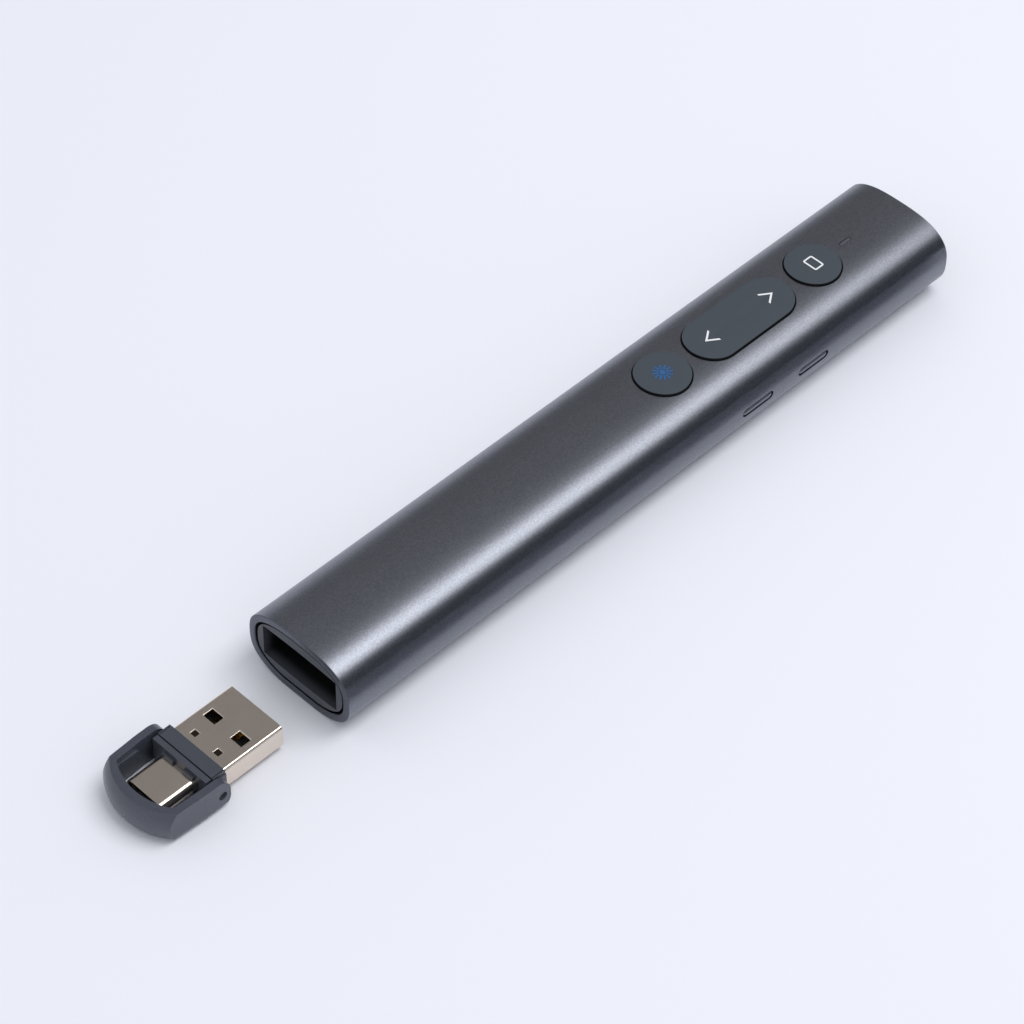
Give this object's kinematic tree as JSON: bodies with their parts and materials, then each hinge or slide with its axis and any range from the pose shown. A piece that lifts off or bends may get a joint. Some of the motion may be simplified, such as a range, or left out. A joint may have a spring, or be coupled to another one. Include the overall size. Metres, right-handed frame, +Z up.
{
  "type": "wireless presentation clicker",
  "caption": "Slim tube-shaped wireless presenter with laser key, page rocker, screen key and side keys, with its two-ended USB receiver lying at its dock.",
  "frame": {"origin": "on the supporting surface, below the middle of the clicker and its parked receiver", "axes": "+X from the receiver end to the laser nose, +Z up from the supporting surface, +Y to the side that holds the power switch"},
  "size_m": [0.1796, 0.0228, 0.0144],
  "materials": {
    "anodised_tube": "fine bead-blasted, grey anodised, satin",
    "dock_plastic": "moulded, fine matte",
    "nose_plastic": "moulded, smooth",
    "frame_plastic": "moulded",
    "door_plastic": "moulded, metallic grey paint",
    "cell_jacket": null,
    "contact_steel": "nickel plated",
    "screw_steel": "zinc plated",
    "circuit_board": "solder mask over glass fibre",
    "chip_black": "moulded, matte",
    "switch_plastic": "moulded",
    "light_plastic": "clear, polished",
    "laser_brass": "turned",
    "lens_glass": "polished",
    "key_plastic": "soft-touch coated",
    "knob_plastic": "moulded",
    "plug_nickel": "nickel plated, lightly brushed",
    "contact_gold": "gold plated",
    "receiver_plastic": "moulded, satin",
    "bow_metal": "satin grey coated"
  },
  "bodies": {
    "clicker": {"body_tube": "anodised_tube", "dock_insert": "dock_plastic", "nose_plug": "nose_plastic", "inner_frame": "frame_plastic", "battery_cell": "cell_jacket", "battery_spring": "contact_steel", "spring_plate": "contact_steel", "positive_contact": "contact_steel", "main_pcb": "circuit_board", "radio_chip": "chip_black", "crystal": "contact_steel", "pcb_screws": "screw_steel", "laser_switch": "switch_plastic", "page_down_switch": "switch_plastic", "page_up_switch": "switch_plastic", "screen_switch": "switch_plastic", "volume_down_switch": "switch_plastic", "volume_up_switch": "switch_plastic", "slide_switch": "contact_steel", "rocker_bracket": "frame_plastic", "status_led": "light_plastic", "light_pipe": "light_plastic", "laser_module": "laser_brass", "laser_lens": "lens_glass"},
    "laser_key": {"laser_key": "key_plastic"},
    "page_rocker": {"page_rocker": "key_plastic"},
    "screen_key": {"screen_key": "key_plastic"},
    "volume_down_key": {"volume_down_key": "anodised_tube"},
    "volume_up_key": {"volume_up_key": "anodised_tube"},
    "power_knob": {"power_knob": "knob_plastic"},
    "battery_door": {"battery_door": "door_plastic"},
    "receiver": {"usb_a_shell": "plug_nickel", "usb_a_tongue": "chip_black", "usb_a_contacts": "contact_gold", "receiver_collar": "receiver_plastic", "receiver_core": "receiver_plastic", "receiver_pcb": "circuit_board", "receiver_chip": "chip_black", "usb_c_shell": "plug_nickel", "usb_c_liner": "chip_black", "usb_c_contacts": "contact_gold", "hinge_pins": "screw_steel"},
    "swivel_bow": {"swivel_bow": "bow_metal"}
  },
  "joints": [
    {"name": "laser_key_press", "type": "slide", "parent": "clicker", "child": "laser_key", "axis": [0, 0, -1], "range_m": [0, 0.0004], "stiffness_N_per_m": 900},
    {"name": "page_rocker_tilt", "type": "hinge", "parent": "clicker", "child": "page_rocker", "pos_m": [0.04805, 0, 0.01051], "axis": [0, 1, 0], "range_deg": [-2, 2], "stiffness_Nm_per_rad": 0.06},
    {"name": "screen_key_press", "type": "slide", "parent": "clicker", "child": "screen_key", "axis": [0, 0, -1], "range_m": [0, 0.0004], "stiffness_N_per_m": 900},
    {"name": "volume_down_key_press", "type": "slide", "parent": "clicker", "child": "volume_down_key", "axis": [0, 1, 0], "range_m": [0, 0.00035], "stiffness_N_per_m": 900},
    {"name": "volume_up_key_press", "type": "slide", "parent": "clicker", "child": "volume_up_key", "axis": [0, 1, 0], "range_m": [0, 0.00035], "stiffness_N_per_m": 900},
    {"name": "power_slide", "type": "slide", "parent": "clicker", "child": "power_knob", "axis": [1, 0, 0], "range_m": [0, 0.002]},
    {"name": "battery_door_swing", "type": "hinge", "parent": "clicker", "child": "battery_door", "pos_m": [0.02145, 0, 0], "axis": [0, -1, 0], "range_deg": [0, 20]},
    {"name": "receiver_dock", "type": "slide", "parent": "clicker", "child": "receiver", "axis": [0.9439, 0, 0.3304], "range_m": [0, 0.01165]},
    {"name": "bow_swing", "type": "hinge", "parent": "receiver", "child": "swivel_bow", "pos_m": [-0.0766, 0, 0.00315], "axis": [0, 1, 0], "range_deg": [0, 142]}
  ]
}
